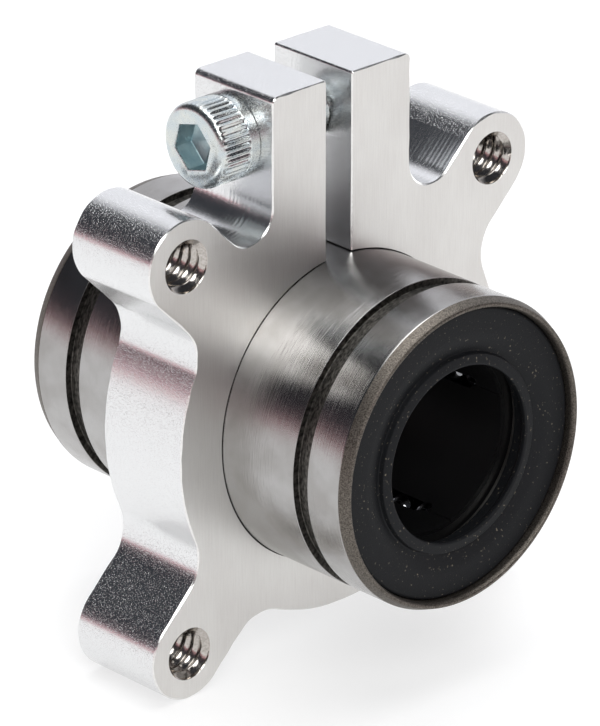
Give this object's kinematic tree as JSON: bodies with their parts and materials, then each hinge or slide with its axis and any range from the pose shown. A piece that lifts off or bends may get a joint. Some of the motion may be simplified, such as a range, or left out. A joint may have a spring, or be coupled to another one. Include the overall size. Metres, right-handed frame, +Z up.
{
  "type": "linear ball bushing",
  "caption": "Closed linear ball bushing with rubber end seals, held in a split aluminium flange clamp with tapped lobes and a cross screw through its ears.",
  "frame": {"origin": "under the middle of the clamp, at the foot of its two lower lobes", "axes": "+X across the clamp towards the tapped ear, +Y along the shaft bore from front to rear, +Z up through the clamp ears"},
  "size_m": [0.0332, 0.03, 0.0394],
  "materials": {
    "clamp_aluminium": "machined and tumbled, bright chamfers",
    "zinc_plate": "bright bluish zinc plating",
    "ground_steel": "fine ground bearing steel",
    "ring_steel": "pressed steel",
    "ball_steel": "polished",
    "black_resin": "moulded",
    "seal_rubber": "moulded, matt"
  },
  "bodies": {
    "clamp": {"clamp_housing": "clamp_aluminium"},
    "screw": {"clamp_screw": "zinc_plate"},
    "bushing": {"outer_sleeve": "ground_steel", "ball_cage": "black_resin", "front_seal": "seal_rubber", "rear_seal": "seal_rubber", "front_stop_ring": "ring_steel", "rear_stop_ring": "ring_steel"},
    "circuit_1_loaded_balls": {"circuit_1_ball_1": "ball_steel", "circuit_1_ball_2": "ball_steel", "circuit_1_ball_3": "ball_steel", "circuit_1_ball_4": "ball_steel", "circuit_1_ball_5": "ball_steel", "circuit_1_ball_6": "ball_steel", "circuit_1_ball_7": "ball_steel", "circuit_1_ball_8": "ball_steel"},
    "circuit_1_return_balls": {"circuit_1_return_row": "ball_steel"},
    "circuit_1_front_turn_balls": {"circuit_1_front_turn": "ball_steel"},
    "circuit_1_rear_turn_balls": {"circuit_1_rear_turn": "ball_steel"},
    "circuit_2_loaded_balls": {"circuit_2_ball_1": "ball_steel", "circuit_2_ball_2": "ball_steel", "circuit_2_ball_3": "ball_steel", "circuit_2_ball_4": "ball_steel", "circuit_2_ball_5": "ball_steel", "circuit_2_ball_6": "ball_steel", "circuit_2_ball_7": "ball_steel", "circuit_2_ball_8": "ball_steel"},
    "circuit_2_return_balls": {"circuit_2_return_row": "ball_steel"},
    "circuit_2_front_turn_balls": {"circuit_2_front_turn": "ball_steel"},
    "circuit_2_rear_turn_balls": {"circuit_2_rear_turn": "ball_steel"},
    "circuit_3_loaded_balls": {"circuit_3_ball_1": "ball_steel", "circuit_3_ball_2": "ball_steel", "circuit_3_ball_3": "ball_steel", "circuit_3_ball_4": "ball_steel", "circuit_3_ball_5": "ball_steel", "circuit_3_ball_6": "ball_steel", "circuit_3_ball_7": "ball_steel", "circuit_3_ball_8": "ball_steel"},
    "circuit_3_return_balls": {"circuit_3_return_row": "ball_steel"},
    "circuit_3_front_turn_balls": {"circuit_3_front_turn": "ball_steel"},
    "circuit_3_rear_turn_balls": {"circuit_3_rear_turn": "ball_steel"},
    "circuit_4_loaded_balls": {"circuit_4_ball_1": "ball_steel", "circuit_4_ball_2": "ball_steel", "circuit_4_ball_3": "ball_steel", "circuit_4_ball_4": "ball_steel", "circuit_4_ball_5": "ball_steel", "circuit_4_ball_6": "ball_steel", "circuit_4_ball_7": "ball_steel", "circuit_4_ball_8": "ball_steel"},
    "circuit_4_return_balls": {"circuit_4_return_row": "ball_steel"},
    "circuit_4_front_turn_balls": {"circuit_4_front_turn": "ball_steel"},
    "circuit_4_rear_turn_balls": {"circuit_4_rear_turn": "ball_steel"}
  },
  "joints": [
    {"name": "clamp_screw_turn", "type": "hinge", "parent": "clamp", "child": "screw", "pos_m": [-0.0061, 0.00028, 0.03589], "axis": [-1, 0, 0], "range_deg": [0, 450]},
    {"name": "bushing_slide", "type": "slide", "parent": "clamp", "child": "bushing", "axis": [0, 1, 0], "range_m": [-0.009, 0.009]},
    {"name": "circuit_1_roll", "type": "slide", "parent": "bushing", "child": "circuit_1_loaded_balls", "axis": [0, 1, 0], "range_m": [-0.00107, 0.00107]},
    {"name": "circuit_1_return", "type": "slide", "parent": "bushing", "child": "circuit_1_return_balls", "axis": [0, 1, 0], "range_m": [-0.00108, 0.00108]},
    {"name": "circuit_1_front_turn", "type": "hinge", "parent": "bushing", "child": "circuit_1_front_turn_balls", "pos_m": [0.00379, -0.0086, 0.0104], "axis": [0.2588, 0, -0.9659], "range_deg": [-30, 30]},
    {"name": "circuit_1_rear_turn", "type": "hinge", "parent": "bushing", "child": "circuit_1_rear_turn_balls", "pos_m": [0.00379, 0.0086, 0.0104], "axis": [0.2588, 0, -0.9659], "range_deg": [-30, 30]},
    {"name": "circuit_2_roll", "type": "slide", "parent": "bushing", "child": "circuit_2_loaded_balls", "axis": [0, 1, 0], "range_m": [-0.00107, 0.00107]},
    {"name": "circuit_2_return", "type": "slide", "parent": "bushing", "child": "circuit_2_return_balls", "axis": [0, 1, 0], "range_m": [-0.00108, 0.00108]},
    {"name": "circuit_2_front_turn", "type": "hinge", "parent": "bushing", "child": "circuit_2_front_turn_balls", "pos_m": [0.00622, -0.0086, 0.02041], "axis": [0.9659, 0, 0.2588], "range_deg": [-30, 30]},
    {"name": "circuit_2_rear_turn", "type": "hinge", "parent": "bushing", "child": "circuit_2_rear_turn_balls", "pos_m": [0.00622, 0.0086, 0.02041], "axis": [0.9659, 0, 0.2588], "range_deg": [-30, 30]},
    {"name": "circuit_3_roll", "type": "slide", "parent": "bushing", "child": "circuit_3_loaded_balls", "axis": [0, 1, 0], "range_m": [-0.00107, 0.00107]},
    {"name": "circuit_3_return", "type": "slide", "parent": "bushing", "child": "circuit_3_return_balls", "axis": [0, 1, 0], "range_m": [-0.00108, 0.00108]},
    {"name": "circuit_3_front_turn", "type": "hinge", "parent": "bushing", "child": "circuit_3_front_turn_balls", "pos_m": [-0.00379, -0.0086, 0.02284], "axis": [-0.2588, 0, 0.9659], "range_deg": [-30, 30]},
    {"name": "circuit_3_rear_turn", "type": "hinge", "parent": "bushing", "child": "circuit_3_rear_turn_balls", "pos_m": [-0.00379, 0.0086, 0.02284], "axis": [-0.2588, 0, 0.9659], "range_deg": [-30, 30]},
    {"name": "circuit_4_roll", "type": "slide", "parent": "bushing", "child": "circuit_4_loaded_balls", "axis": [0, 1, 0], "range_m": [-0.00107, 0.00107]},
    {"name": "circuit_4_return", "type": "slide", "parent": "bushing", "child": "circuit_4_return_balls", "axis": [0, 1, 0], "range_m": [-0.00108, 0.00108]},
    {"name": "circuit_4_front_turn", "type": "hinge", "parent": "bushing", "child": "circuit_4_front_turn_balls", "pos_m": [-0.00622, -0.0086, 0.01283], "axis": [-0.9659, 0, -0.2588], "range_deg": [-30, 30]},
    {"name": "circuit_4_rear_turn", "type": "hinge", "parent": "bushing", "child": "circuit_4_rear_turn_balls", "pos_m": [-0.00622, 0.0086, 0.01283], "axis": [-0.9659, 0, -0.2588], "range_deg": [-30, 30]}
  ],
  "couplings": [
    {"joint": "circuit_1_return", "follows": "circuit_1_roll", "ratio": -1},
    {"joint": "circuit_1_front_turn", "follows": "circuit_1_roll", "rad_per_m": 487.07},
    {"joint": "circuit_1_rear_turn", "follows": "circuit_1_roll", "rad_per_m": 487.07},
    {"joint": "circuit_2_return", "follows": "circuit_2_roll", "ratio": -1},
    {"joint": "circuit_2_front_turn", "follows": "circuit_2_roll", "rad_per_m": 487.07},
    {"joint": "circuit_2_rear_turn", "follows": "circuit_2_roll", "rad_per_m": 487.07},
    {"joint": "circuit_3_return", "follows": "circuit_3_roll", "ratio": -1},
    {"joint": "circuit_3_front_turn", "follows": "circuit_3_roll", "rad_per_m": 487.07},
    {"joint": "circuit_3_rear_turn", "follows": "circuit_3_roll", "rad_per_m": 487.07},
    {"joint": "circuit_4_return", "follows": "circuit_4_roll", "ratio": -1},
    {"joint": "circuit_4_front_turn", "follows": "circuit_4_roll", "rad_per_m": 487.07},
    {"joint": "circuit_4_rear_turn", "follows": "circuit_4_roll", "rad_per_m": 487.07}
  ]
}
